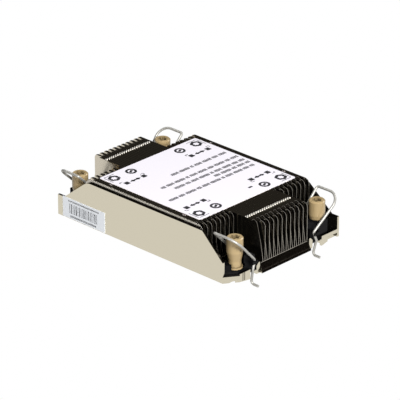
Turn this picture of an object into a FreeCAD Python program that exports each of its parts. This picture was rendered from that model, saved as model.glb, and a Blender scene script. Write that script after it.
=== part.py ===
"""Low-profile passive heatsink for a server processor, in millimetres.

+Z is up, away from the processor.  The air flows along X, the short fins and the
tall walls run along X too.  The origin is the centre of the face that touches the
processor.  A half turn about Z maps the tray, the walls and the corners onto themselves.
"""
import FreeCAD, Part
import math
import os

import Sketcher

doc = FreeCAD.newDocument("passive_heatsink")
sheet = doc.addObject("Spreadsheet::Sheet", "dims")

SIZES = [
    # contact face and base
    ("pad_proud", 0.5, "contact face below the tray's underside"),
    ("pad_length", 76.0, "contact pad along X"),
    ("pad_width", 54.0, "contact pad along Y"),
    ("window_gap", 0.3, "tray window around the contact pad"),
    ("base_thickness", 3.3, "base plate above the tray floor"),
    ("base_overhang", 0.7, "base plate beyond the short fins, along X"),
    ("base_side_gap", 0.3, "base plate to the tall wall"),
    ("tongue_inset", 0.3, "base tongue inside the tray's tongue, each side and at its end"),
    ("tongue_slope", 1.8, "lean of the tongue's front face, foot to top, along X"),
    # folded tray
    ("tray_length", 118.0, "tray along X"),
    ("tray_width", 78.0, "tray along Y, over both walls"),
    ("tray_sheet", 1.3, "sheet thickness of the tray"),
    ("tongue_width", 35.2, "tray tongue under the fin nose"),
    ("notch_depth", 4.0, "notch between tongue and ear, along X"),
    ("tongue_beyond", 1.2, "tongue's foot beyond the ears, along X"),
    ("tab_width", 2.4, "upright tab beside the tongue, along Y"),
    ("tab_height", 5.8, "that tab above the tray's underside"),
    ("tab_corner", 1.5, "slope on its outer top corner"),
    ("tab_setback", 1.5, "tab behind the tongue's foot"),
    ("cut_ear_start", 24.6, "centre line to a cut ear's inner edge, along Y"),
    ("square_ear_start", 26.4, "centre line to a square ear's inner edge"),
    ("lip_height", 4.2, "ear lip above the tray's underside"),
    ("cut_lip_height", 3.3, "lip along the cut corner"),
    ("groove_place", 29.2, "middle of the two lip grooves from the centre line"),
    ("groove_spacing", 1.2, "between those grooves"),
    ("groove_width", 0.5, "their width"),
    ("groove_depth", 0.35, "their depth"),
    ("foot_drop", 1.0, "ear lip's inner end below the tray's underside"),
    ("nick_start", 1.3, "nick under the cut corner's lip, behind the lip's front"),
    ("nick_length", 1.7, "that nick along X"),
    ("nick_height", 0.8, "and above the tray's underside"),
    ("corner_cut_x", 4.7, "cut corner along X"),
    ("corner_cut_y", 7.0, "cut corner along Y"),
    ("lip_relief_height", 2.3, "relief under the square ear's lip"),
    ("lip_relief_width", 7.0, "width of that relief"),
    ("stud_hole_radius", 2.9, "tray hole for a socket stud"),
    # tall walls
    ("wall_height", 23.6, "wall above the tray's underside"),
    ("wall_end_height", 10.8, "wall height at its ends"),
    ("wall_end_flat", 4.6, "level stretch at the wall's long end"),
    ("wall_long_ramp", 16.2, "ramp at the long end, along X"),
    ("wall_short_ramp", 13.6, "ramp at the cut corner, along X"),
    ("wall_crown_radius", 7.0, "round at the top of the long ramp"),
    # fins
    ("fin_pitch", 1.5, "fin spacing"),
    ("fin_sheet", 0.3, "fin sheet thickness"),
    ("fin_top", 25.5, "fin top above the tray's underside"),
    ("nose_pair_count", 11, "pairs of long fins, which carry the nose"),
    ("fin_side_gap", 0.15, "least gap between the outer fins and the wall"),
    ("end_fin_sheet", 0.12, "sheet of the plain end fin"),
    ("nose_inset", 0.1, "long fins behind the tongue's top edge"),
    ("main_reach", 40.3, "front edge of a short fin"),
    ("fin_setback", 3.7, "every second fin is set back this far at its top"),
    ("fin_knee_setback", 1.3, "and this far at the knee of its front edge"),
    ("fin_knee_height", 9.2, "that knee above the base"),
    ("fin_flush_height", 1.2, "above the base, where a set-back fin is flush again"),
    ("corner_run", 2.4, "rounded-off fin corner along X"),
    ("corner_drop", 2.3, "rounded-off fin corner along Z"),
    ("corner_bulge", 0.7, "that corner's middle, inside the fin's front and top"),
    ("fold_groove", 0.14, "fold below the flange tops"),
    ("zip_place", 48.0, "interlock row from the centre"),
    ("clip_place", 25.0, "interlock tongues beside the label, from the centre"),
    ("zip_length", 1.9, "interlock tongue along X"),
    ("zip_width", 0.75, "interlock tongue along Y"),
    ("zip_height", 0.45, "interlock tongue's free edge above the flange"),
    ("end_fin_drop", 0.15, "plain end fin below the fin top"),
    # captive nuts
    ("nut_x", 53.0, "nut from the centre along X"),
    ("nut_y", 29.2, "nut from the centre along Y"),
    ("nut_top", 21.2, "nut top above the tray's underside"),
    ("nut_head_radius", 4.1, "upper body of the nut"),
    ("nut_head_length", 7.6, "upper body's height"),
    ("nut_taper", 4.4, "taper below the upper body"),
    ("nut_shank_radius", 3.2, "shank"),
    ("nut_flange_radius", 3.85, "retaining flange at the foot"),
    ("nut_flange_height", 0.9, "its thickness"),
    ("nut_rim", 0.5, "chamfer at the top"),
    ("thread_radius", 1.65, "threaded bore, at its minor diameter"),
    ("thread_depth", 8.0, "depth of that bore"),
    ("drive_radius", 2.0, "six-lobe recess, core"),
    ("drive_lobe", 0.62, "six-lobe recess, lobe radius"),
    ("drive_depth", 3.2, "depth of the recess"),
    # nut cages
    ("cage_inner_x", 49.0, "cage from the centre along X"),
    ("cage_outer_x", 57.2, "cage's outer face"),
    ("cage_inner_y", 19.6, "cage's inner face"),
    ("cage_side_gap", 0.25, "cage to the tall wall"),
    ("cage_floor", 3.7, "cage floor thickness"),
    ("cage_block_height", 12.0, "pivot block above the tray's underside"),
    ("cage_block_outer", 27.6, "pivot block's far face along Y"),
    ("cage_slope_run", 3.0, "slope on the pivot block's inner top edge, along Y"),
    ("cage_slope_drop", 2.2, "that slope along Z"),
    ("screen_inset", 0.2, "screen beside a square ear, overlap with the pivot block"),
    ("screen_sheet", 0.85, "that screen's thickness"),
    ("screen_gap", 0.05, "screen's inner face beyond the cage's outer face"),
    ("screen_end", 31.4, "screen's end from the centre line"),
    ("snap_foot", 6.5, "snap finger above the tray's underside"),
    ("snap_height", 1.6, "snap finger along Z"),
    ("snap_sheet", 0.7, "snap finger's thickness"),
    ("snap_reach", 2.8, "snap finger beyond the cage's outer face"),
    ("snap_tip", 20.3, "its tip from the centre line"),
    ("snap_arm", 22.9, "its arm's near face from the centre line"),
    ("snap_arm_width", 1.1, "its arm along Y"),
    ("cage_post_height", 8.2, "outer post above the tray's underside"),
    ("cage_post_inner", 33.7, "outer post's near face along Y"),
    ("fork_height", 1.6, "fork that keeps the nut"),
    ("fork_slot", 2.7, "half width of the fork's mouth"),
    ("fork_reach", 0.9, "fork beyond the nut's centre, along X"),
    ("nut_clearance", 0.12, "around and below the nut's foot"),
    ("head_clearance", 0.45, "pivot block around the nut's upper body"),
    # spring wires
    ("wire_radius", 0.65, "wire"),
    ("wire_clearance", 0.05, "wire in its bore"),
    ("wire_bend", 1.2, "small bends, on the wire's centre line"),
    ("wire_foot_bend", 1.6, "bends of the foot"),
    ("wire_round", 6.0, "large bend at the outer shoulder"),
    ("pivot_y", 21.3, "pivot from the centre line"),
    ("pivot_z", 8.2, "pivot above the tray's underside"),
    ("foot_x", 57.1, "foot from the centre"),
    ("foot_depth", 4.8, "hook below the tray's underside"),
    ("hook_length", 4.7, "hook along X"),
    ("foot_shift", 0.7, "foot outside the pivot, along Y"),
    ("heel_x", 58.8, "bulge between foot and pivot, from the centre"),
    ("heel_shift", 1.4, "that bulge outside the pivot, along Y"),
    ("heel_drop", 5.0, "that bulge below the pivot"),
    ("throat_x", 58.3, "wire where it passes the pivot, from the centre"),
    ("throat_shift", 0.4, "there inside and below the pivot"),
    ("inner_leg_x", 46.3, "inner leg from the centre"),
    ("pin_end_x", 54.0, "end of the pivot pin from the centre"),
    ("shoulder_x", 61.6, "outer shoulder from the centre"),
    ("loop_length", 22.0, "pivot to the loop's top"),
    ("loop_lean", 45.0, "degrees above level, at rest"),
    # printed label and sticker
    ("label_length", 69.0, "top label along X"),
    ("label_width", 68.0, "top label along Y"),
    ("label_sheet", 0.15, "label thickness"),
    ("label_corner", 1.0, "label corner radius"),
    ("sticker_start", 3.6, "sticker from the wall's long end"),
    ("sticker_length", 29.8, "sticker along X"),
    ("sticker_height", 10.9, "sticker along Z"),
    ("sticker_lift", 0.3, "sticker above the tray's underside"),
]

for row, (alias, size, note) in enumerate(SIZES, start=1):
    sheet.set(f"A{row}", alias)
    sheet.set(f"B{row}", str(size))
    sheet.setAlias(f"B{row}", alias)
    sheet.set(f"C{row}", note)
doc.recompute()

TRAY_TOP = "(dims.pad_proud + dims.tray_sheet)"
BASE_TOP = f"({TRAY_TOP} + dims.base_thickness)"
FIN_TOP = "(dims.pad_proud + dims.fin_top)"
HALF_LENGTH = "(dims.tray_length / 2)"
HALF_WIDTH = "(dims.tray_width / 2)"
TONGUE_FOOT = f"({HALF_LENGTH} + dims.tongue_beyond)"
NOSE_REACH = f"({TONGUE_FOOT} - dims.tongue_slope - dims.nose_inset)"
WALL_INNER = f"({HALF_WIDTH} - dims.tray_sheet)"
# as many pairs of short fins as fit between the long ones and a wall
SIDE_ROOM = f"({WALL_INNER} - dims.fin_side_gap - dims.nose_pair_count * dims.fin_pitch)"
SIDE_PAIRS = f"floor({SIDE_ROOM} / (2 * dims.fin_pitch))"
STACK_EDGE = f"((dims.nose_pair_count + 2 * {SIDE_PAIRS}) * dims.fin_pitch)"
CAGE_TOP_OF_FLOOR = f"({TRAY_TOP} + dims.cage_floor)"
NUT_FOOT = f"({CAGE_TOP_OF_FLOOR} + dims.nut_clearance)"
NUT_TOP = "(dims.pad_proud + dims.nut_top)"

# corner name, side along X, side along Y
CORNERS = [
    ("front_left", 1, 1),
    ("front_right", 1, -1),
    ("rear_left", -1, 1),
    ("rear_right", -1, -1),
]


def number(expression):
    """Value of an expression over the sheet."""
    return float(sheet.evalExpression(str(expression)))


def new_body(name):
    body = doc.addObject("PartDesign::Body", name)
    body.Label = name
    return body


def role(body, name):
    """Origin plane or axis of a body."""
    return next(f for f in body.Origin.OriginFeatures if f.Role == name)


def new_sketch(body, name, plane, offset="0"):
    """Sketch on one of the body's own origin planes, moved along its normal."""
    sketch = body.newObject("Sketcher::SketchObject", name)
    sketch.AttachmentSupport = [(role(body, plane), "")]
    sketch.MapMode = "FlatFace"
    sketch.setExpression("AttachmentOffset.Base.z", offset)
    return sketch


def bind(sketch, kind, item, point, expression):
    """Hold one coordinate of a point by an expression."""
    place = Sketcher.Constraint(kind, -1, 1, item, point, number(expression))
    index = sketch.addConstraint(place)
    name = f"{kind}_{index}"
    sketch.renameConstraint(index, name)
    sketch.setExpression(f"Constraints.{name}", expression)


def outline(sketch, corners):
    """Closed outline through corners, each coordinate an expression."""
    spots = [FreeCAD.Vector(number(x), number(y), 0) for x, y in corners]
    first = sketch.GeometryCount
    count = len(spots)
    for i, spot in enumerate(spots):
        sketch.addGeometry(Part.LineSegment(spot, spots[(i + 1) % count]))
    for i, (x, y) in enumerate(corners):
        line = first + i
        following = first + (i + 1) % count
        sketch.addConstraint(Sketcher.Constraint("Coincident", line, 2, following, 1))
        bind(sketch, "DistanceX", line, 1, x)
        bind(sketch, "DistanceY", line, 1, y)


def rectangle(sketch, x1, y1, x2, y2):
    outline(sketch, [(x1, y1), (x2, y1), (x2, y2), (x1, y2)])


def circle(sketch, x, y, radius):
    centre = FreeCAD.Vector(number(x), number(y), 0)
    item = sketch.addGeometry(Part.Circle(centre, FreeCAD.Vector(0, 0, 1), number(radius)))
    bind(sketch, "DistanceX", item, 3, x)
    bind(sketch, "DistanceY", item, 3, y)
    index = sketch.addConstraint(Sketcher.Constraint("Radius", item, number(radius)))
    name = f"Radius_{index}"
    sketch.renameConstraint(index, name)
    sketch.setExpression(f"Constraints.{name}", radius)


def pad(body, sketch, length, reverse=False):
    feature = body.newObject("PartDesign::Pad", sketch.Name + "_pad")
    feature.Profile = sketch
    feature.setExpression("Length", length)
    feature.Reversed = reverse
    return feature


def pocket(body, sketch, length, reverse=False):
    feature = body.newObject("PartDesign::Pocket", sketch.Name + "_pocket")
    feature.Profile = sketch
    feature.setExpression("Length", length)
    feature.Reversed = reverse
    return feature


def cut_through(body, sketch):
    """Pocket through the whole body, both ways from its sketch."""
    feature = body.newObject("PartDesign::Pocket", sketch.Name + "_pocket")
    feature.Profile = sketch
    feature.Type = "ThroughAll"
    feature.Midplane = True
    return feature


def repeat_round(body, name, features, copies):
    """Copies of features, evenly round the body's Z axis."""
    pattern = body.newObject("PartDesign::PolarPattern", name)
    pattern.Originals = features
    pattern.Axis = (role(body, "Z_Axis"), [""])
    pattern.Angle = 360
    pattern.Occurrences = copies
    body.Tip = pattern
    return pattern


def repeat_along_y(body, name, features, copies, step):
    """Copies of features, stepped towards +Y."""
    pattern = body.newObject("PartDesign::LinearPattern", name)
    pattern.Originals = features
    pattern.Direction = (role(body, "Y_Axis"), [""])
    pattern.setExpression("Length", f"({copies} - 1) * {step}")
    pattern.setExpression("Occurrences", copies)
    body.Tip = pattern
    return pattern


def round_edges(body, feature, radius, wanted):
    """Fillet on the edges that wanted() picks."""
    doc.recompute()
    names = [f"Edge{i}" for i, edge in enumerate(feature.Shape.Edges, 1) if wanted(edge)]
    fillet = body.newObject("PartDesign::Fillet", feature.Name + "_round")
    fillet.Base = (feature, names)
    fillet.setExpression("Radius", radius)
    body.Tip = fillet
    return fillet


def make_tray():
    """Folded sheet: floor with a window, two tall walls, four ears with lips."""
    body = new_body("tray")
    floor = new_sketch(body, "tray_floor", "XY_Plane", "dims.pad_proud")
    rectangle(floor, f"-{HALF_LENGTH}", f"-{HALF_WIDTH}", HALF_LENGTH, HALF_WIDTH)
    pad(body, floor, "dims.tray_sheet")

    window = new_sketch(body, "tray_window", "XY_Plane", "dims.pad_proud")
    reach_x = "(dims.pad_length / 2 + dims.window_gap)"
    reach_y = "(dims.pad_width / 2 + dims.window_gap)"
    rectangle(window, f"-{reach_x}", f"-{reach_y}", reach_x, reach_y)
    cut_through(body, window)

    # cut corner on the right, a notch each side of the tongue
    ends = new_sketch(body, "tray_end", "XY_Plane", "dims.pad_proud")
    beyond = f"({HALF_LENGTH} + dims.tray_sheet)"
    notch_x = f"({HALF_LENGTH} - dims.notch_depth)"
    ears = (("", "dims.square_ear_start"), ("-", "dims.cut_ear_start"))
    for side, ear in ears:
        rectangle(ends, notch_x, f"{side}(dims.tongue_width / 2)", beyond, f"{side}{ear}")
    cut_x = f"({HALF_LENGTH} - dims.corner_cut_x)"
    cut_y = f"-({HALF_WIDTH} - dims.corner_cut_y)"
    outline(ends, [(cut_x, f"-{HALF_WIDTH}"), (HALF_LENGTH, cut_y), (beyond, cut_y),
                   (beyond, f"-({HALF_WIDTH} + dims.tray_sheet)"),
                   (cut_x, f"-({HALF_WIDTH} + dims.tray_sheet)")])
    end_cuts = cut_through(body, ends)
    studs = new_sketch(body, "tray_studs", "XY_Plane", "dims.pad_proud")
    for side in ("", "-"):
        circle(studs, "dims.nut_x", f"{side}dims.nut_y", "dims.stud_hole_radius")
    stud_cuts = cut_through(body, studs)

    # wall on the right, from its long end at -X to the cut corner at +X
    wall = new_sketch(body, "tray_wall", "XZ_Plane", WALL_INNER)
    foot = "dims.pad_proud"
    end_top = "(dims.pad_proud + dims.wall_end_height)"
    crown = "(dims.pad_proud + dims.wall_height)"
    ramp_foot = f"-({HALF_LENGTH} - dims.wall_end_flat)"
    ramp_head = f"-({HALF_LENGTH} - dims.wall_end_flat - dims.wall_long_ramp)"
    outline(wall, [(f"-{HALF_LENGTH}", foot), (f"-{HALF_LENGTH}", end_top),
                   (ramp_foot, end_top), (ramp_head, crown),
                   (f"{cut_x} - dims.wall_short_ramp", crown), (cut_x, end_top),
                   (cut_x, foot)])
    wall_pad = pad(body, wall, "dims.tray_sheet")

    # ear lips at +X: along the ears, and a lower one round the cut corner
    lips = new_sketch(body, "tray_lips", "XY_Plane", "dims.pad_proud")
    inside = f"({HALF_LENGTH} - dims.tray_sheet)"
    slant = "(dims.tray_sheet * dims.corner_cut_x / dims.corner_cut_y)"
    rectangle(lips, inside, "dims.square_ear_start", HALF_LENGTH, HALF_WIDTH)
    outline(lips, [(inside, "-dims.cut_ear_start"), (HALF_LENGTH, "-dims.cut_ear_start"),
                   (HALF_LENGTH, cut_y), (inside, f"{cut_y} + dims.tray_sheet")])
    lip_pad = pad(body, lips, "dims.lip_height")
    low_lip = new_sketch(body, "tray_low_lip", "XY_Plane", "dims.pad_proud")
    outline(low_lip, [(inside, f"{cut_y} + dims.tray_sheet"), (HALF_LENGTH, cut_y),
                      (cut_x, f"-{HALF_WIDTH}"),
                      (f"{cut_x} - dims.tray_sheet - {slant}", f"-{HALF_WIDTH}")])
    low_pad = pad(body, low_lip, "dims.cut_lip_height")

    relief_end = f"({WALL_INNER} - dims.lip_relief_width)"
    feet = new_sketch(body, "lip_feet", "YZ_Plane", inside)
    foot_z = "(dims.pad_proud - dims.foot_drop)"
    outline(feet, [("dims.square_ear_start", TRAY_TOP), (relief_end, TRAY_TOP),
                   (relief_end, "dims.pad_proud"), ("dims.square_ear_start", foot_z)])
    outline(feet, [("-dims.cut_ear_start", TRAY_TOP), (cut_y, TRAY_TOP),
                   (cut_y, "dims.pad_proud"), ("-dims.cut_ear_start", foot_z)])
    feet_pad = pad(body, feet, "dims.tray_sheet")

    grooves = new_sketch(body, "lip_grooves", "XY_Plane", "dims.pad_proud")
    for side in ("-", "+"):
        middle = f"(-dims.groove_place {side} dims.groove_spacing / 2)"
        rectangle(grooves, f"{HALF_LENGTH} - dims.groove_depth",
                  f"{middle} - dims.groove_width / 2", f"{HALF_LENGTH} + dims.groove_depth",
                  f"{middle} + dims.groove_width / 2")
    groove_cut = pocket(body, grooves, "dims.lip_height", reverse=True)

    nick = new_sketch(body, "lip_nick", "XZ_Plane", f"-{cut_y}")
    nick_x = f"({HALF_LENGTH} - dims.nick_start)"
    rectangle(nick, f"{nick_x} - dims.nick_length", "0", nick_x,
              "dims.pad_proud + dims.nick_height")
    nick_cut = pocket(body, nick, f"{HALF_WIDTH}", reverse=True)

    relief = new_sketch(body, "tray_relief", "YZ_Plane", inside)
    rectangle(relief, relief_end, "0", WALL_INNER,
              "dims.pad_proud + dims.lip_relief_height")
    relief_cut = pocket(body, relief, "2 * dims.tray_sheet", reverse=True)

    # tongue beyond the ears, its front leaning back, with a tab on each side
    tongue = new_sketch(body, "tray_tongue", "XZ_Plane", "dims.tongue_width / 2")
    tongue_root = f"({HALF_LENGTH} - dims.notch_depth)"
    rise = f"(dims.tongue_slope * dims.tray_sheet / ({BASE_TOP} - dims.pad_proud))"
    outline(tongue, [(tongue_root, "dims.pad_proud"), (TONGUE_FOOT, "dims.pad_proud"),
                     (f"{TONGUE_FOOT} - {rise}", TRAY_TOP), (tongue_root, TRAY_TOP)])
    tongue_pad = pad(body, tongue, "dims.tongue_width", reverse=True)
    tab_front = f"({TONGUE_FOOT} - dims.tab_setback)"
    tab_y = "(dims.tongue_width / 2 + dims.tab_width)"
    shelf = new_sketch(body, "tray_shelf", "XY_Plane", "dims.pad_proud")
    rectangle(shelf, tongue_root, f"-{tab_y}", tab_front, tab_y)
    shelf_pad = pad(body, shelf, "dims.tray_sheet")
    tabs = new_sketch(body, "tray_tabs", "YZ_Plane", tab_front)
    tab_top = "(dims.pad_proud + dims.tab_height)"
    for side in ("", "-"):
        outline(tabs, [(f"{side}dims.tongue_width / 2", "dims.pad_proud"),
                       (f"{side}{tab_y}", "dims.pad_proud"),
                       (f"{side}{tab_y}", f"{tab_top} - dims.tab_corner"),
                       (f"{side}({tab_y} - dims.tab_corner)", tab_top),
                       (f"{side}dims.tongue_width / 2", tab_top)])
    tab_pad = pad(body, tabs, "dims.tray_sheet", reverse=True)

    both = repeat_round(body, "tray_other_half",
                        [end_cuts, stud_cuts, wall_pad, lip_pad, low_pad, feet_pad,
                         groove_cut, nick_cut, relief_cut, tongue_pad, shelf_pad, tab_pad], 2)

    crown_x = abs(number(ramp_head))
    crown_z = number(crown)

    def at_crown(edge):
        return all(abs(abs(v.X) - crown_x) < 0.01 and abs(v.Z - crown_z) < 0.01
                   for v in edge.Vertexes)

    round_edges(body, both, "dims.wall_crown_radius", at_crown)
    return body


def make_base():
    """Base plate with a tongue under each nose and the contact pad below."""
    body = new_body("base_plate")
    tongue_y = "(dims.tongue_width / 2 - dims.tongue_inset)"
    tray_share = f"(dims.tray_sheet / ({BASE_TOP} - dims.pad_proud))"
    tongue_x = f"({TONGUE_FOOT} - dims.tongue_slope * {tray_share})"
    top_x = f"({TONGUE_FOOT} - dims.tongue_slope)"
    main_x = "(dims.main_reach + dims.base_overhang)"
    main_y = f"({WALL_INNER} - dims.base_side_gap)"
    plate = new_sketch(body, "base_outline", "XY_Plane", TRAY_TOP)
    outline(plate, [(main_x, f"-{main_y}"), (main_x, f"-{tongue_y}"),
                    (tongue_x, f"-{tongue_y}"), (tongue_x, tongue_y),
                    (main_x, tongue_y), (main_x, main_y),
                    (f"-{main_x}", main_y), (f"-{main_x}", tongue_y),
                    (f"-{tongue_x}", tongue_y), (f"-{tongue_x}", f"-{tongue_y}"),
                    (f"-{main_x}", f"-{tongue_y}"), (f"-{main_x}", f"-{main_y}")])
    pad(body, plate, "dims.base_thickness")
    slope = new_sketch(body, "base_slope", "XZ_Plane", "dims.tray_width / 2")
    for side in ("", "-"):
        outline(slope, [(f"{side}{tongue_x}", TRAY_TOP),
                        (f"{side}({tongue_x} + dims.tray_sheet)", TRAY_TOP),
                        (f"{side}({tongue_x} + dims.tray_sheet)", BASE_TOP),
                        (f"{side}{top_x}", BASE_TOP)])
    pocket(body, slope, "dims.tray_width")
    contact = new_sketch(body, "contact_pad", "XY_Plane")
    rectangle(contact, "-dims.pad_length / 2", "-dims.pad_width / 2",
              "dims.pad_length / 2", "dims.pad_width / 2")
    pad(body, contact, TRAY_TOP)
    return body


def fin_web(sketch, reach, set_back):
    """Side view of one fin, the same at both ends."""
    shoulder = f"({FIN_TOP} - dims.corner_drop)"
    ridge = f"({FIN_TOP} - dims.fold_groove)"
    top_reach = f"({reach} - dims.fin_setback)" if set_back else reach
    half = [(reach, BASE_TOP)]
    if set_back:
        half.append((reach, f"{BASE_TOP} + dims.fin_flush_height"))
        half.append((f"({reach} - dims.fin_knee_setback)",
                     f"{BASE_TOP} + dims.fin_knee_height"))
    half.append((top_reach, shoulder))
    half.append((f"({top_reach} - dims.corner_bulge)", f"({ridge} - dims.corner_bulge)"))
    half.append((f"({top_reach} - dims.corner_run)", ridge))
    other = [(f"-({x})", z) for x, z in reversed(half)]
    outline(sketch, half + other)


def add_fin(body, tag, reach, set_back, index):
    """One fin: web, top flange and foot flange, both folded towards -Y."""
    place = f"({index} * dims.fin_pitch - {STACK_EDGE})"
    web = new_sketch(body, f"{tag}_web", "XZ_Plane", f"-{place}")
    fin_web(web, reach, set_back)
    web_pad = pad(body, web, "dims.fin_sheet")

    back = " - dims.fin_setback" if set_back else ""
    flange_reach = f"({reach} - dims.corner_run{back})"
    flange = new_sketch(body, f"{tag}_flange", "XZ_Plane", f"-{place} + dims.fin_sheet")
    rectangle(flange, f"-{flange_reach}", f"{FIN_TOP} - dims.fin_sheet",
              flange_reach, FIN_TOP)
    flange_pad = pad(body, flange, "dims.fin_pitch - dims.fin_sheet")

    foot = new_sketch(body, f"{tag}_foot", "XZ_Plane", f"-{place} + dims.fin_sheet")
    rectangle(foot, f"-{reach}", BASE_TOP, reach, f"{BASE_TOP} + dims.fin_sheet")
    foot_pad = pad(body, foot, "dims.fin_pitch - dims.fin_sheet")
    return [web_pad, flange_pad, foot_pad]


def add_zip(body, tag, index, middle):
    """Raised interlock tongues on one flange, one at each end."""
    place = f"({index} * dims.fin_pitch - {STACK_EDGE})"
    inset = "(dims.fin_pitch - dims.fin_sheet - dims.zip_width) / 2"
    tongues = new_sketch(body, f"{tag}_zip", "XZ_Plane",
                         f"-{place} + dims.fin_sheet + {inset}")
    low = f"({middle} - dims.zip_length / 2)"
    high = f"({middle} + dims.zip_length / 2)"
    foot = f"{FIN_TOP} - dims.fin_sheet / 2"
    tip = f"{FIN_TOP} + dims.zip_height"
    outline(tongues, [(low, foot), (high, foot), (high, tip), (low, FIN_TOP)])
    outline(tongues, [(f"-{high}", foot), (f"-{low}", foot), (f"-{low}", tip),
                      (f"-{high}", FIN_TOP)])
    return pad(body, tongues, "dims.zip_width")


def make_fin_stack(name, reach, first, pairs, clip_row=None):
    """Soldered stack: a set-back fin and a full fin, repeated.

    Interlock tongues stand on every fin, or on one row only where it is named.
    """
    body = new_body(name)
    step = "2 * dims.fin_pitch"
    short = add_fin(body, f"{name}_back", reach, True, first)
    full = add_fin(body, f"{name}_full", reach, False, f"({first} + 1)")
    features = short + full
    if clip_row is None:
        features.append(add_zip(body, f"{name}_back", first, "dims.zip_place"))
        features.append(add_zip(body, f"{name}_full", f"({first} + 1)", "dims.zip_place"))
    repeat_along_y(body, f"{name}_rows", features, pairs, step)
    if clip_row is not None:
        add_zip(body, f"{name}_clip", clip_row, "dims.clip_place")
        return body
    # the last fin has no neighbour to lock into
    last = f"(({first} - 1 + 2 * {pairs}) * dims.fin_pitch - {STACK_EDGE})"
    plain = new_sketch(body, f"{name}_last", "XY_Plane", FIN_TOP)
    rectangle(plain, f"-{reach}", f"{last} - dims.fin_pitch", reach,
              f"{last} + dims.fin_pitch")
    pocket(body, plain, "2 * dims.zip_height", reverse=True)
    return body


def make_end_fin():
    """Plain fin that closes the stack next to the right wall."""
    body = new_body("end_fin")
    web = new_sketch(body, "end_fin_web", "XZ_Plane", STACK_EDGE)
    top = f"({FIN_TOP} - dims.end_fin_drop)"
    shoulder = f"({top} - dims.corner_drop)"
    reach = "dims.main_reach"
    ridge_x = f"({reach} - dims.corner_run)"
    outline(web, [(f"-{reach}", BASE_TOP), (reach, BASE_TOP), (reach, shoulder),
                  (ridge_x, top), (f"-{ridge_x}", top), (f"-{reach}", shoulder)])
    pad(body, web, "dims.end_fin_sheet")
    return body


def make_nut(name, side_x, side_y):
    """Captive plastic nut: turned body, six-lobe recess, threaded bore below."""
    body = new_body(name)
    body.setExpression("Placement.Base.x", f"{side_x} * dims.nut_x")
    body.setExpression("Placement.Base.y", f"{side_y} * dims.nut_y")
    profile = new_sketch(body, f"{name}_profile", "XZ_Plane")
    flange_top = f"({NUT_FOOT} + dims.nut_flange_height)"
    head_foot = f"({NUT_TOP} - dims.nut_head_length)"
    outline(profile, [
        ("dims.thread_radius", NUT_FOOT), ("dims.nut_flange_radius", NUT_FOOT),
        ("dims.nut_flange_radius", flange_top), ("dims.nut_shank_radius", flange_top),
        ("dims.nut_shank_radius", f"{head_foot} - dims.nut_taper"),
        ("dims.nut_head_radius", head_foot),
        ("dims.nut_head_radius", f"{NUT_TOP} - dims.nut_rim"),
        ("dims.nut_head_radius - dims.nut_rim", NUT_TOP), ("0", NUT_TOP),
        ("0", f"{NUT_FOOT} + dims.thread_depth"),
        ("dims.thread_radius", f"{NUT_FOOT} + dims.thread_depth")])
    turned = body.newObject("PartDesign::Revolution", f"{name}_turned")
    turned.Profile = profile
    turned.ReferenceAxis = (profile, ["V_Axis"])
    turned.Angle = 360
    core = new_sketch(body, f"{name}_core", "XY_Plane", NUT_TOP)
    circle(core, "0", "0", "dims.drive_radius")
    pocket(body, core, "dims.drive_depth")
    lobe = new_sketch(body, f"{name}_lobe", "XY_Plane", NUT_TOP)
    circle(lobe, "dims.drive_radius", "0", "dims.drive_lobe")
    lobe_cut = pocket(body, lobe, "dims.drive_depth")
    repeat_round(body, f"{name}_lobes", [lobe_cut], 6)
    return body


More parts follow.
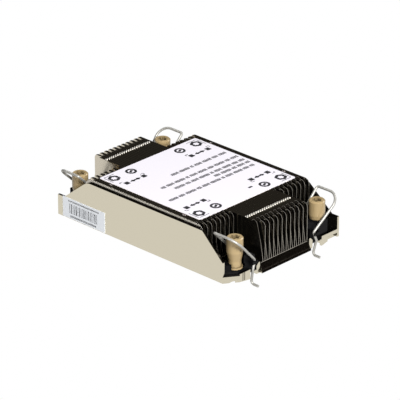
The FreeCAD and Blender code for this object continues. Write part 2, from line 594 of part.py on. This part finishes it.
def make_cage(name, side_x, side_y):
    """Moulded cage: floor, pivot block, outer post and the fork that keeps the nut."""
    body = new_body(name)
    near_x = f"{side_x} * dims.cage_inner_x"
    far_x = f"{side_x} * dims.cage_outer_x"
    near_y = f"{side_y} * dims.cage_inner_y"
    outer = f"({WALL_INNER} - dims.cage_side_gap)"
    far_y = f"{side_y} * {outer}"
    bevel_x = f"{side_x} * (dims.cage_outer_x - dims.corner_cut_x)"
    bevel_y = f"{side_y} * ({outer} - dims.corner_cut_y)"

    floor = new_sketch(body, f"{name}_floor", "XY_Plane", TRAY_TOP)
    outline(floor, [(near_x, near_y), (far_x, near_y), (far_x, bevel_y),
                    (bevel_x, far_y), (near_x, far_y)])
    pad(body, floor, "dims.cage_floor")

    block = new_sketch(body, f"{name}_block", "XY_Plane", TRAY_TOP)
    rectangle(block, near_x, near_y, far_x, f"{side_y} * dims.cage_block_outer")
    pad(body, block, "dims.pad_proud + dims.cage_block_height - " + TRAY_TOP)

    slope = new_sketch(body, f"{name}_slope", "YZ_Plane", near_x)
    crest = "(dims.pad_proud + dims.cage_block_height)"
    rim = f"({crest} + dims.wire_radius)"
    beyond = f"{side_y} * (dims.cage_inner_y - dims.wire_radius)"
    outline(slope, [(near_y, f"{crest} - dims.cage_slope_drop"),
                    (f"{near_y} + {side_y} * dims.cage_slope_run", crest),
                    (f"{near_y} + {side_y} * dims.cage_slope_run", rim), (beyond, rim),
                    (beyond, f"{crest} - dims.cage_slope_drop")])
    cut_through(body, slope)

    post = new_sketch(body, f"{name}_post", "XY_Plane", TRAY_TOP)
    post_y = f"{side_y} * dims.cage_post_inner"
    post_share = f"((dims.cage_post_inner - {outer} + dims.corner_cut_y) / dims.corner_cut_y)"
    post_x = f"{side_x} * (dims.cage_outer_x - dims.corner_cut_x * {post_share})"
    outline(post, [(near_x, post_y), (post_x, post_y), (bevel_x, far_y), (near_x, far_y)])
    pad(body, post, "dims.pad_proud + dims.cage_post_height - " + TRAY_TOP)

    stud = new_sketch(body, f"{name}_stud", "XY_Plane", TRAY_TOP)
    circle(stud, f"{side_x} * dims.nut_x", f"{side_y} * dims.nut_y",
           "dims.stud_hole_radius")
    pocket(body, stud, "dims.cage_floor", reverse=True)

    recess = new_sketch(body, f"{name}_recess", "XY_Plane", CAGE_TOP_OF_FLOOR)
    circle(recess, f"{side_x} * dims.nut_x", f"{side_y} * dims.nut_y",
           "dims.nut_head_radius + dims.head_clearance")
    pocket(body, recess, "dims.fin_top", reverse=True)

    fork_foot = f"({NUT_FOOT} + dims.nut_flange_height + dims.nut_clearance)"
    fork = new_sketch(body, f"{name}_fork", "XY_Plane", fork_foot)
    rectangle(fork, near_x, f"{side_y} * dims.pivot_y",
              f"{side_x} * (dims.nut_x + dims.fork_reach)", post_y)
    pad(body, fork, "dims.fork_height")

    mouth = new_sketch(body, f"{name}_mouth", "XY_Plane", fork_foot)
    rectangle(mouth, f"{side_x} * dims.nut_x",
              f"{side_y} * dims.nut_y - dims.fork_slot",
              f"{far_x} + {side_x} * dims.tray_sheet",
              f"{side_y} * dims.nut_y + dims.fork_slot")
    pocket(body, mouth, "dims.fork_height", reverse=True)
    neck = new_sketch(body, f"{name}_neck", "XY_Plane", fork_foot)
    circle(neck, f"{side_x} * dims.nut_x", f"{side_y} * dims.nut_y",
           "dims.nut_shank_radius + dims.nut_clearance")
    pocket(body, neck, "dims.fork_height", reverse=True)

    # finger that the wire snaps behind
    snap = new_sketch(body, f"{name}_snap", "XY_Plane", "dims.pad_proud + dims.snap_foot")
    tip_x = f"{side_x} * (dims.cage_outer_x + dims.snap_reach)"
    back_x = f"{side_x} * (dims.cage_outer_x + dims.snap_reach - dims.snap_sheet)"
    arm_y = f"{side_y} * dims.snap_arm"
    arm_end = f"{side_y} * (dims.snap_arm + dims.snap_arm_width)"
    tip_y = f"{side_y} * dims.snap_tip"
    root_x = f"{side_x} * (dims.cage_outer_x - dims.snap_sheet)"
    outline(snap, [(root_x, arm_y), (back_x, arm_y), (back_x, tip_y), (tip_x, tip_y),
                   (tip_x, arm_end), (root_x, arm_end)])
    pad(body, snap, "dims.snap_height")

    if side_x == side_y:
        # screen in front of the nut, beside a square ear
        screen = new_sketch(body, f"{name}_screen", "XY_Plane", CAGE_TOP_OF_FLOOR)
        inner_x = f"{side_x} * (dims.cage_outer_x + dims.screen_gap)"
        outer_x = f"{side_x} * (dims.cage_outer_x + dims.screen_gap + dims.screen_sheet)"
        joined_x = f"{side_x} * (dims.cage_outer_x - dims.screen_inset)"
        start_y = f"{side_y} * (dims.cage_block_outer - dims.cage_slope_run)"
        end_y = f"{side_y} * dims.screen_end"
        block_y = f"{side_y} * (dims.cage_block_outer - dims.screen_inset)"
        outline(screen, [(joined_x, start_y), (outer_x, start_y), (outer_x, end_y),
                         (inner_x, end_y), (inner_x, block_y), (joined_x, block_y)])
        pad(body, screen, f"dims.pad_proud + dims.cage_block_height - {CAGE_TOP_OF_FLOOR}")

    bore = new_sketch(body, f"{name}_bore", "YZ_Plane", near_x)
    circle(bore, f"{side_y} * dims.pivot_y", "dims.pad_proud + dims.pivot_z",
           "dims.wire_radius + dims.wire_clearance")
    cut_through(body, bore)
    return body


def bent_path(points, radii):
    """Straight runs through points, with an arc of the given radius at each corner."""
    edges = []
    start = points[0]
    for corner, following, radius in zip(points[1:-1], points[2:], radii):
        before = (start - corner).normalize()
        after = (following - corner).normalize()
        half_angle = before.getAngle(after) / 2
        cut = radius / math.tan(half_angle)
        enter = corner + before * cut
        leave = corner + after * cut
        bisector = (before + after).normalize()
        centre = corner + bisector * (radius / math.sin(half_angle))
        middle = centre - bisector * radius
        edges.append(Part.LineSegment(start, enter).toShape())
        edges.append(Part.Arc(enter, middle, leave).toShape())
        start = leave
    edges.append(Part.LineSegment(start, points[-1]).toShape())
    return Part.Wire(edges)


def make_wire(name, side_x, side_y):
    """Bent spring wire: hook, foot, throat at the pivot, loop round the nut, pin."""
    size = {alias: number(f"dims.{alias}") for alias, _, _ in SIZES}
    lean = math.radians(size["loop_lean"])
    pivot_y, pivot_z = size["pivot_y"], size["pivot_z"]

    def at(x, y, z):
        return FreeCAD.Vector(side_x * x, side_y * y, size["pad_proud"] + z)

    def on_loop(x, distance):
        return at(x, pivot_y + distance * math.cos(lean),
                  pivot_z + distance * math.sin(lean))

    foot_y = pivot_y + size["foot_shift"]
    top = size["loop_length"]
    points = [
        at(size["foot_x"] + size["hook_length"], foot_y, -size["foot_depth"]),
        at(size["foot_x"], foot_y, -size["foot_depth"]),
        at(size["heel_x"], pivot_y + size["heel_shift"], pivot_z - size["heel_drop"]),
        at(size["throat_x"], pivot_y - size["throat_shift"],
           pivot_z - size["throat_shift"]),
        on_loop(size["shoulder_x"], top),
        on_loop(size["inner_leg_x"], top),
        at(size["inner_leg_x"], pivot_y, pivot_z),
        at(size["pin_end_x"], pivot_y, pivot_z),
    ]
    foot, bend = size["wire_foot_bend"], size["wire_bend"]
    path = bent_path(points, [foot, foot, foot, size["wire_round"], bend, bend])
    section = Part.Circle(points[0], points[1] - points[0], size["wire_radius"])
    profile = Part.Wire([section.toShape()])
    wire = doc.addObject("Part::Feature", name)
    wire.Label = name
    wire.Shape = path.makePipeShell([profile], True, True)
    wire.Placement = FreeCAD.Placement()
    return wire


def make_label():
    """Thin printed label on top of the fins."""
    body = new_body("top_label")
    field = new_sketch(body, "label_field", "XY_Plane", FIN_TOP)
    rectangle(field, "-dims.label_length / 2", "-dims.label_width / 2",
              "dims.label_length / 2", "dims.label_width / 2")
    sheet_pad = pad(body, field, "dims.label_sheet")

    def upright(edge):
        return abs(edge.Vertexes[0].Z - edge.Vertexes[-1].Z) > 0.01

    round_edges(body, sheet_pad, "dims.label_corner", upright)
    return body


def make_sticker():
    """Small sticker on the right wall, near its long end."""
    sticker = doc.addObject("Part::Box", "side_sticker")
    sticker.Label = "side_sticker"
    sticker.setExpression("Length", "dims.sticker_length")
    sticker.setExpression("Width", "dims.label_sheet")
    sticker.setExpression("Height", "dims.sticker_height")
    sticker.setExpression("Placement.Base.x", f"dims.sticker_start - {HALF_LENGTH}")
    sticker.setExpression("Placement.Base.y", f"-{HALF_WIDTH} - dims.label_sheet")
    sticker.setExpression("Placement.Base.z", "dims.pad_proud + dims.sticker_lift")
    return sticker


def check(parts):
    """Stop if any object failed or any sub-part has no sound solid."""
    for item in doc.Objects:
        if "Invalid" in item.State or "Error" in item.State:
            raise RuntimeError(f"{item.Name} failed: {item.State}")
    for item in parts:
        shape = item.Shape
        if shape.isNull() or not shape.isValid() or not shape.Solids:
            raise RuntimeError(f"{item.Label} has no sound solid")


parts = [
    make_tray(),
    make_base(),
    make_fin_stack("fin_stack_right", "dims.main_reach", "1", SIDE_PAIRS, "2"),
    make_fin_stack("fin_stack_centre", NOSE_REACH, f"(2 * {SIDE_PAIRS} + 1)",
                   "dims.nose_pair_count"),
    make_fin_stack("fin_stack_left", "dims.main_reach",
                   f"(2 * {SIDE_PAIRS} + 2 * dims.nose_pair_count + 1)", SIDE_PAIRS,
                   f"(4 * {SIDE_PAIRS} + 2 * dims.nose_pair_count - 1)"),
    make_end_fin(),
    make_label(),
    make_sticker(),
]
for corner, side_x, side_y in CORNERS:
    parts.append(make_nut(f"captive_nut_{corner}", side_x, side_y))
    parts.append(make_cage(f"nut_cage_{corner}", side_x, side_y))
    parts.append(make_wire(f"tilt_wire_{corner}", side_x, side_y))

doc.recompute()
check(parts)
os.makedirs("parts", exist_ok=True)
for item in parts:
    item.Shape.exportStep(f"parts/{item.Label}.step")
    print(f"{item.Label}: {len(item.Shape.Solids)} solid, {item.Shape.Volume:.1f} mm3")
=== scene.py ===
"""Looks of the passive heatsink: finishes, flat print, stage, lamps and camera.

Lengths are in metres, as in the frame.  The flat print is laid out in millimetres.
+X is the front, +Y the left side and +Z up, away from the processor.
"""
import math

import bmesh
import bpy
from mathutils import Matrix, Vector


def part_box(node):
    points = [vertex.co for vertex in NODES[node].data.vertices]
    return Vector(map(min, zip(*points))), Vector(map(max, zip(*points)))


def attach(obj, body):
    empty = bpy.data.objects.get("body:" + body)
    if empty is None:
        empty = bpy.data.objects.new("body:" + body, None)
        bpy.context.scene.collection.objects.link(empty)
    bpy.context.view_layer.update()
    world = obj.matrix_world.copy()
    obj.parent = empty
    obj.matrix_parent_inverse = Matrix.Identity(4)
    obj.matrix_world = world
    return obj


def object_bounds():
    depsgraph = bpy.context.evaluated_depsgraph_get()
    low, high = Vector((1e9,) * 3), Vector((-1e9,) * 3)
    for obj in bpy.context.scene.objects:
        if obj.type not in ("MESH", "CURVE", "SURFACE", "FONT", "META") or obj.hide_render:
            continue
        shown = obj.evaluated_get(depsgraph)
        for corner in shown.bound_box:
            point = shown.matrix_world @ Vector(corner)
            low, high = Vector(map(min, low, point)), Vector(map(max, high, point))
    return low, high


MM = 0.001
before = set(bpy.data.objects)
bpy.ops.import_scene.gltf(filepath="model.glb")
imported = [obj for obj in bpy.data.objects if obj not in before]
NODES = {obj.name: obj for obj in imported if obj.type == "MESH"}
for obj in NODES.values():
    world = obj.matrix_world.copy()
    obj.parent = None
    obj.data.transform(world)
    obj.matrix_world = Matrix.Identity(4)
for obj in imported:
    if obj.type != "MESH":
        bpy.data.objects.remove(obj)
cad_low, cad_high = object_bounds()
scene = bpy.context.scene


# ---------------------------------------------------------------- building a material
class Finish:
    """One material: a principled shader, with effects laid over it."""

    # places of a mix node's sockets: first value, second value, result
    COLOUR_SOCKETS = (6, 7, 2)
    NUMBER_SOCKETS = (2, 3, 0)

    def __init__(self, name, colour, metallic=0.0, roughness=0.5, specular=0.5):
        self.material = bpy.data.materials.new(name)
        self.material.use_nodes = True
        self.tree = self.material.node_tree
        self.inputs = self.tree.nodes["Principled BSDF"].inputs
        self.colour = colour
        self.fill(self.inputs["Base Color"], colour)
        self.fill(self.inputs["Metallic"], metallic)
        self.fill(self.inputs["Roughness"], roughness)
        self.fill(self.inputs["Specular IOR Level"], specular)

    def fill(self, slot, value):
        """Give an input a number, a colour or another node's output."""
        if isinstance(value, bpy.types.NodeSocket):
            self.tree.links.new(value, slot)
        elif isinstance(value, tuple):
            slot.default_value = (*value, 1)
        else:
            slot.default_value = value

    def node(self, kind, **values):
        made = self.tree.nodes.new(kind)
        for key, value in values.items():
            setattr(made, key, value)
        return made

    def calc(self, operation, first, second=0.0):
        made = self.node("ShaderNodeMath", operation=operation)
        self.fill(made.inputs[0], first)
        self.fill(made.inputs[1], second)
        return made.outputs[0]

    def split(self, vector):
        made = self.node("ShaderNodeSeparateXYZ")
        self.fill(made.inputs[0], vector)
        return made.outputs

    def mix(self, share, first, second, data_type="RGBA", sockets=COLOUR_SOCKETS):
        """The first colour where the share is 0, the second where it is 1."""
        made = self.node("ShaderNodeMix", data_type=data_type)
        first_slot, second_slot, result = sockets
        self.fill(made.inputs[0], share)
        self.fill(made.inputs[first_slot], first)
        self.fill(made.inputs[second_slot], second)
        return made.outputs[result]

    def mix_numbers(self, share, first, second):
        return self.mix(share, first, second, "FLOAT", self.NUMBER_SOCKETS)

    def base(self):
        """What the base colour is so far: a node's output, or the plain colour."""
        slot = self.inputs["Base Color"]
        return slot.links[0].from_socket if slot.is_linked else self.colour

    def set_base(self, value):
        self.fill(self.inputs["Base Color"], value)

    def dimmed(self, share):
        return tuple(share * channel for channel in self.colour)

    def fine_grain(self, scale, strength, depth=0.05 * MM, detail=3):
        """Small bumps from noise, with scale features to the metre."""
        place = self.node("ShaderNodeTexCoord")
        noise = self.node("ShaderNodeTexNoise")
        self.fill(noise.inputs["Vector"], place.outputs["Object"])
        self.fill(noise.inputs["Scale"], scale)
        self.fill(noise.inputs["Detail"], detail)
        bump = self.node("ShaderNodeBump")
        self.fill(bump.inputs["Height"], noise.outputs["Fac"])
        self.fill(bump.inputs["Strength"], strength)
        self.fill(bump.inputs["Distance"], depth)
        self.fill(self.inputs["Normal"], bump.outputs["Normal"])

    def bright_edges(self, radius, samples=6):
        """Rounded look on sharp sheet edges, which catch the light; the grain comes first."""
        bevel = self.node("ShaderNodeBevel", samples=samples)
        self.fill(bevel.inputs["Radius"], radius)
        grain = self.inputs["Normal"].links[0].from_node
        self.fill(grain.inputs["Normal"], bevel.outputs["Normal"])

    def painted_dark_tops(self, colour, least_upward=0.3):
        """Painted shade: darker colour on the rims and slopes that face up, where the metal
        would mirror the dark room above.
        """
        geometry = self.node("ShaderNodeNewGeometry")
        upward = self.split(geometry.outputs["True Normal"])[2]
        rim = self.calc("GREATER_THAN", upward, least_upward)
        self.set_base(self.mix(rim, self.base(), colour))

    def dark_in_mirror(self, share):
        """Painted shade: dimmer where it is only seen in another shiny face, so that deep gaps
        go black.
        """
        path = self.node("ShaderNodeLightPath")
        self.set_base(self.mix(path.outputs["Is Glossy Ray"], self.base(), self.dimmed(share)))

    def dark_hollows(self, reach, share, samples=8):
        """Dim corners and sockets, where little light gets in."""
        hollow = self.node("ShaderNodeAmbientOcclusion", samples=samples, only_local=True)
        self.fill(hollow.inputs["Distance"], reach)
        self.set_base(self.mix(hollow.outputs["AO"], self.dimmed(share), self.base()))


# ---------------------------------------------------------------- finishes
# grain as features to the metre and strength
METAL_GRAIN = (900, 0.03)
NUT_GRAIN = (1200, 0.2)
CAGE_GRAIN = (2000, 0.3)
WIRE_GRAIN = (1800, 0.15)
PRINT_GRAIN = (700, 0.08)


def tray_nickel():
    made = Finish("nickel_tray", (0.66, 0.615, 0.50), metallic=1.0, roughness=0.14)
    # painted shade on the faces that look up
    made.painted_dark_tops(colour=(0.16, 0.14, 0.11))
    made.fine_grain(*METAL_GRAIN)
    made.dark_in_mirror(share=0.2)
    return made


def base_nickel():
    made = Finish("nickel_base", (0.42, 0.41, 0.33), metallic=1.0, roughness=0.16)
    # painted shade on the faces that look up
    made.painted_dark_tops(colour=(0.14, 0.12, 0.10))
    made.fine_grain(*METAL_GRAIN)
    made.bright_edges(radius=0.12 * MM)
    made.dark_in_mirror(share=0.2)
    return made


def end_fin_sheet():
    made = Finish("end_fin_sheet", (0.50, 0.47, 0.42), metallic=1.0, roughness=0.2)
    made.fine_grain(*METAL_GRAIN)
    made.bright_edges(radius=0.6 * MM)
    return made


def fin_sheet():
    """Plated sheet with rough sheared ends; on the interlock tongues, slanted stripes of
    painted light with painted shade between them.
    """
    plate = (0.60, 0.555, 0.47)
    sheared_end = (0.40, 0.375, 0.335)
    # painted light on the tops of the tongue folds, near white in the middle stack and dimmer
    # on the side stacks; painted shade, near black, in the gaps between folds
    middle_fold_painted_light = (0.95, 0.92, 0.86)
    side_fold_painted_light = (0.38, 0.34, 0.34)
    fold_gap_painted_shade = (0.01, 0.009, 0.008)
    plate_roughness = 0.2
    sheared_roughness = 0.5
    least_end_facing = 0.15
    above_flange = 0.03 * MM
    fin_pitch = 1.5 * MM
    fold_start = 0.2 * MM
    fold_half_width = 0.5 * MM

    made = Finish("fin_sheet", plate, metallic=1.0, roughness=plate_roughness)
    geometry = made.node("ShaderNodeNewGeometry")
    x, y, z = made.split(geometry.outputs["Position"])
    along = made.split(geometry.outputs["True Normal"])[0]

    sheared = made.calc("GREATER_THAN", made.calc("ABSOLUTE", along), least_end_facing)
    metal = made.mix(sheared, plate, sheared_end)

    beside = made.calc("GREATER_THAN", made.calc("ABSOLUTE", y),
                       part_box("fin_stack_centre")[1].y)
    fold_painted_light = made.mix(beside, middle_fold_painted_light, side_fold_painted_light)
    slant = made.calc("ADD", made.calc("ADD", x, y), fold_start)
    from_fold = made.calc("PINGPONG", slant, fin_pitch / 2)
    # stripes along the slant: painted light on the folds, painted shade between them
    tongue_painted_light_and_shade = made.mix(made.calc("LESS_THAN", from_fold, fold_half_width), fold_gap_painted_shade, fold_painted_light)

    # the label lies on the flanges, so its underside is their top
    flange_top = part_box("top_label")[0].z
    raised = made.calc("GREATER_THAN", z, flange_top + above_flange)
    # above the flanges the painted light and shade of the folds stand as plain colour, not
    # metal
    made.set_base(made.mix(raised, metal, tongue_painted_light_and_shade))
    made.fill(made.inputs["Metallic"], made.mix_numbers(raised, 1.0, 0.0))
    made.fill(made.inputs["Roughness"],
              made.mix_numbers(sheared, plate_roughness, sheared_roughness))
    made.dark_in_mirror(share=0.12)
    return made


def tan_plastic(name, mirror_share=None):
    """Plastic of the nuts; mirror_share gives painted shade to those that a shiny nose would
    mirror, so their reflection is darker.
    """
    made = Finish(name, (0.38, 0.285, 0.15), roughness=0.28)
    if mirror_share is not None:
        made.dark_in_mirror(share=mirror_share)
    made.dark_hollows(reach=4 * MM, share=0.05)
    made.fine_grain(*NUT_GRAIN)
    return made


def black_plastic():
    made = Finish("black_plastic", (0.003, 0.003, 0.0035), roughness=0.45, specular=0.1)
    made.fine_grain(*CAGE_GRAIN)
    return made


def bright_wire():
    made = Finish("bright_wire", (0.43, 0.425, 0.40), metallic=0.5, roughness=0.45)
    made.dark_in_mirror(share=0.05)
    made.fine_grain(*WIRE_GRAIN)
    return made


def film(name, colour, roughness):
    """Label film, sticker film or the ink on them."""
    made = Finish(name, colour, roughness=roughness)
    made.fine_grain(*PRINT_GRAIN)
    return made


def dress(prefix, finish):
    """Give one finish to every node whose name starts so."""
    for name, target in NODES.items():
        if name.startswith(prefix):
            target.data.materials.clear()
            target.data.materials.append(finish.material)


dress("tray", tray_nickel())
dress("base_plate", base_nickel())
dress("fin_stack", fin_sheet())
dress("end_fin", end_fin_sheet())
dress("captive_nut_rear", tan_plastic("tan_plastic"))
dress("captive_nut_front", tan_plastic("tan_plastic_front", mirror_share=0.02))
dress("nut_cage", black_plastic())
dress("tilt_wire", bright_wire())
dress("top_label", film("label_film", (0.80, 0.78, 0.85), roughness=0.5))
dress("side_sticker", film("sticker_film", (0.90, 0.94, 1.0), roughness=0.45))
ink = film("print_ink", (0.025, 0.025, 0.03), roughness=0.5)


# ---------------------------------------------------------------- flat print
PROUD = 0.02 * MM
WAVES = 6


class Print:
    """Thin flat shapes on a plane, laid out in millimetres and gathered into one mesh."""

    def __init__(self, place):
        self.mesh = bmesh.new()
        self.place = place

    def face(self, points):
        corners = [self.mesh.verts.new(self.place(u * MM, v * MM)) for u, v in points]
        self.mesh.faces.new(corners)

    def bar(self, u, v, width, height, turn=0.0):
        cosine, sine = math.cos(turn), math.sin(turn)
        across, along = width / 2, height / 2
        corners = [(-across, -along), (across, -along), (across, along), (-across, along)]
        self.face([(u + a * cosine - b * sine, v + a * sine + b * cosine)
                   for a, b in corners])

    def ring(self, u, v, radius, line, sides, wave=0.0):
        """Ring of a line's width, whose radius may swell and shrink in waves."""
        rim = []
        for k in range(sides + 1):
            angle = math.tau * k / sides
            swollen = radius + wave * math.cos(WAVES * angle)
            rim.append((math.cos(angle), math.sin(angle), swollen))
        for (c1, s1, r1), (c2, s2, r2) in zip(rim, rim[1:]):
            self.face([(u + c1 * (r1 - line), v + s1 * (r1 - line)),
                       (u + c1 * r1, v + s1 * r1),
                       (u + c2 * r2, v + s2 * r2),
                       (u + c2 * (r2 - line), v + s2 * (r2 - line))])

    def finish(self, name, slot):
        bmesh.ops.recalc_face_normals(self.mesh, faces=self.mesh.faces)
        data = bpy.data.meshes.new(name)
        self.mesh.to_mesh(data)
        self.mesh.free()
        data.materials.append(ink.material)
        made = bpy.data.objects.new(name, data)
        scene.collection.objects.link(made)
        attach(made, "frame")


# label, from its centre: rings and squares stand in pairs near each corner
CORNER = 29.0
SECOND = 17.3
SQUARE_X = 20.4
SQUARE = 2.8
INWARD = 0.4
THIN = 0.4


def ring_pair(marks, sx, sy):
    """Wavy ring in the corner, and a plain one beside it with a slanted bar in it."""
    marks.ring(sx * CORNER, sy * CORNER, radius=3.1, line=1.6, sides=36, wave=0.18)
    marks.ring(sx * CORNER, sy * SECOND, radius=3.0, line=1.3, sides=28)
    marks.bar(sx * CORNER, sy * SECOND, width=1.3, height=2.8, turn=0.5)


def corner_lines(marks, sx, sy):
    """Thin line along both outer sides of the wavy ring."""
    offset, length = 3.7, 6.6
    marks.bar(sx * (CORNER + offset), sy * CORNER, THIN, length)
    marks.bar(sx * CORNER, sy * (CORNER + offset), length, THIN)


def square_with_hook(marks, sx, sy, v, out):
    """Solid square, with a thin hook round its corner away from the arrow."""
    post_x, post_y, post = 2.6, 1.4, 1.9
    hook_x, hook_y, hook = 2.0, 2.4, 1.4
    marks.bar(sx * SQUARE_X, sy * (v - INWARD), SQUARE, SQUARE)
    marks.bar(sx * (SQUARE_X + post_x), sy * (v + out * post_y), THIN, post)
    marks.bar(sx * (SQUARE_X + hook_x), sy * (v + out * hook_y), hook, THIN)


def double_arrow(marks, sx, sy):
    """Arrow with two heads, between the two squares."""
    head_half, head_foot, head_tip = 1.3, 1.2, 3.6
    x = sx * SQUARE_X
    middle = sy * ((CORNER + SECOND) / 2 - INWARD)
    marks.bar(x, middle, width=1.1, height=3.6)
    for way in (1, -1):
        marks.face([(x - head_half, middle + way * head_foot),
                    (x + head_half, middle + way * head_foot),
                    (x, middle + way * head_tip)])


def note_lines(marks):
    """Lines of generic strokes where the label has its notes."""
    # x of a line, and where it starts and ends along Y
    lines = [(9.0, -28.5, 31.5), (4.8, 7.5, 32.0), (1.0, -16.5, 32.5), (-3.9, -21.0, 32.5),
             (-11.2, -6.5, 32.0)]
    # strokes in each word, in turn
    words = (6, 4, 7, 3, 5, 7, 2, 5)
    stroke, step, gap = 0.72, 1.0, 0.8
    tall, short, short_every = 2.2, 1.8, 3
    for row, (x, y, end) in enumerate(lines):
        word = row
        while y < end:
            for k in range(words[word % len(words)]):
                if y < end:
                    marks.bar(x, y, tall if k % short_every else short, stroke)
                y += step
            y += gap * step
            word += 1


def print_label():
    label_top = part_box("top_label")[1].z + PROUD
    marks = Print(lambda u, v: Vector((u, v, label_top)))
    for sx in (1, -1):
        for sy in (1, -1):
            ring_pair(marks, sx, sy)
            corner_lines(marks, sx, sy)
            square_with_hook(marks, sx, sy, CORNER, out=1)
            square_with_hook(marks, sx, sy, SECOND, out=-1)
            double_arrow(marks, sx, sy)
    # one short bar alone, near the front
    marks.bar(26.3, 10.0, width=1.3, height=2.6)
    note_lines(marks)
    marks.finish("label_print", "label_white")


def print_sticker():
    """Generic bars with a row of small strokes above and below."""
    low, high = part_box("side_sticker")
    face_y = low.y - PROUD
    middle_x = (low.x + high.x) / 2
    middle_z = (low.z + high.z) / 2
    tag = Print(lambda u, v: Vector((middle_x + u, face_y, middle_z + v)))

    bars = (0.5, 0.9, 0.4, 0.6, 1.1, 0.4, 0.8, 0.5, 0.4, 1.0, 0.6, 0.4, 0.9, 0.5, 0.6, 0.4,
            1.0, 0.5)
    bars_start, bar_gap, bar_height, inked = -10.2, 0.48, 5.2, 0.6
    u = bars_start
    for width in bars:
        tag.bar(u + width / 2, 0.0, width * inked, bar_height)
        u += width + bar_gap

    stroke, step = 0.45, 0.8
    for v, half_length, height in ((4.0, 10.5, 0.9), (-4.1, 9.2, 1.1)):
        u = -half_length
        while u < half_length:
            tag.bar(u, v, stroke, height)
            u += step
    tag.finish("sticker_print", "sticker_white")


print_label()
print_sticker()


# ---------------------------------------------------------------- room and table
BACKGROUND = "ShaderNodeBackground"
EMISSION = "ShaderNodeEmission"
WHITE = (1, 1, 1)
AMBIENT = 0.11


def glow(tree, kind, colour, strength):
    made = tree.nodes.new(kind)
    made.inputs["Color"].default_value = (*colour, 1)
    made.inputs["Strength"].default_value = strength
    return made


def by_ray(tree, seen, mirrored, lighting):
    """Join what the camera sees, what shiny faces mirror and what lights the rest."""
    path = tree.nodes.new("ShaderNodeLightPath")
    result = lighting
    for ray, shader in (("Is Glossy Ray", mirrored), ("Is Camera Ray", seen)):
        mixed = tree.nodes.new("ShaderNodeMixShader")
        tree.links.new(path.outputs[ray], mixed.inputs[0])
        tree.links.new(result.outputs[0], mixed.inputs[1])
        tree.links.new(shader.outputs[0], mixed.inputs[2])
        result = mixed
    return result


def make_room():
    """White to the camera, but dark in the metal's reflections."""
    world = bpy.data.worlds.new("studio")
    scene.world = world
    world.use_nodes = True
    tree = world.node_tree
    tree.nodes.clear()
    room = by_ray(tree, glow(tree, BACKGROUND, WHITE, 1.0),
                  glow(tree, BACKGROUND, (1.0, 0.88, 0.7), 0.02),
                  glow(tree, BACKGROUND, (1.0, 0.99, 0.97), AMBIENT))
    result = tree.nodes.new("ShaderNodeOutputWorld")
    tree.links.new(room.outputs[0], result.inputs["Surface"])


def mirrored_table(tree):
    """Table as the metal mirrors it: pale round the part, dark farther away."""
    edge, fade = 0.3, 1.2
    pale, dark = 0.95, 0.02
    spot = tree.nodes.new("ShaderNodeNewGeometry")
    distance = tree.nodes.new("ShaderNodeVectorMath")
    distance.operation = "LENGTH"
    tree.links.new(spot.outputs["Position"], distance.inputs[0])
    level = tree.nodes.new("ShaderNodeMapRange")
    level.inputs["From Min"].default_value = edge
    level.inputs["From Max"].default_value = edge * fade
    level.inputs["To Min"].default_value = pale
    level.inputs["To Max"].default_value = dark
    tree.links.new(distance.outputs["Value"], level.inputs["Value"])
    table = glow(tree, EMISSION, (1.0, 0.99, 0.96), pale)
    tree.links.new(level.outputs[0], table.inputs["Strength"])
    return table


def make_table():
    """Square floor under the part, just below its lowest point."""
    half, below = 4.0, 0.1 * MM
    height = cad_low.z - below
    corners = [(-half, -half, height), (half, -half, height), (half, half, height),
               (-half, half, height)]
    data = bpy.data.meshes.new("floor")
    data.from_pydata(corners, [], [(0, 1, 2, 3)])
    floor = bpy.data.objects.new("floor", data)
    scene.collection.objects.link(floor)

    material = bpy.data.materials.new("floor_white")
    material.use_nodes = True
    tree = material.node_tree
    tree.nodes.clear()
    table = by_ray(tree, glow(tree, EMISSION, WHITE, 1.0), mirrored_table(tree),
                   glow(tree, EMISSION, (1.0, 0.98, 0.95), AMBIENT))
    result = tree.nodes.new("ShaderNodeOutputMaterial")
    tree.links.new(table.outputs[0], result.inputs["Surface"])
    data.materials.append(material)


make_room()
make_table()


# ---------------------------------------------------------------- lamps and camera
def turn_towards(direction):
    """Rotation that points a lamp or camera along a direction, with its top up."""
    return direction.to_track_quat("-Z", "Y")


def area_lamp(name, place, width, power, colour=WHITE):
    """Square lamp, aimed at the origin."""
    data = bpy.data.lights.new(name, "AREA")
    data.size = width
    data.energy = power
    data.color = colour
    lamp = bpy.data.objects.new(name, data)
    lamp.location = place
    lamp.rotation_mode = "QUATERNION"
    lamp.rotation_quaternion = turn_towards(-Vector(place))
    scene.collection.objects.link(lamp)


# none stands where the label would mirror it into the camera
area_lamp("key", (0.92, -0.42, 0.6), width=0.4, power=21.0, colour=(1.0, 0.98, 0.95))
area_lamp("fill", (0.1, -1.1, 0.4), width=0.35, power=3.0)
area_lamp("top", (0.0, 0.1, 1.1), width=0.6, power=1.9)
area_lamp("left", (-0.75, 0.1, 0.85), width=0.4, power=2.5)
area_lamp("rear", (0.3, 1.0, 0.45), width=0.4, power=4.0)


def make_camera():
    """Long lens, from the front right and above."""
    azimuth = math.radians(43.97)
    elevation = math.radians(24.98)
    away = 1.6
    # what the camera looks at, in its own two directions from a point above the origin
    aim_height, aim_right, aim_up = 0.5 * MM, 1.23 * MM, 12.26 * MM

    back = Vector((math.sin(azimuth) * math.cos(elevation),
                   -math.cos(azimuth) * math.cos(elevation), math.sin(elevation)))
    right = Vector((math.cos(azimuth), math.sin(azimuth), 0))
    up = back.cross(right)
    target = right * aim_right + up * aim_up + Vector((0, 0, aim_height))

    data = bpy.data.cameras.new("camera")
    data.sensor_width = 36.0
    data.lens = 290.5
    data.clip_start = 0.1
    data.clip_end = 20.0
    camera = bpy.data.objects.new("camera", data)
    camera.location = target + back * away
    camera.rotation_mode = "QUATERNION"
    camera.rotation_quaternion = turn_towards(-back)
    scene.collection.objects.link(camera)
    scene.camera = camera


make_camera()
scene.view_settings.view_transform = "Standard"
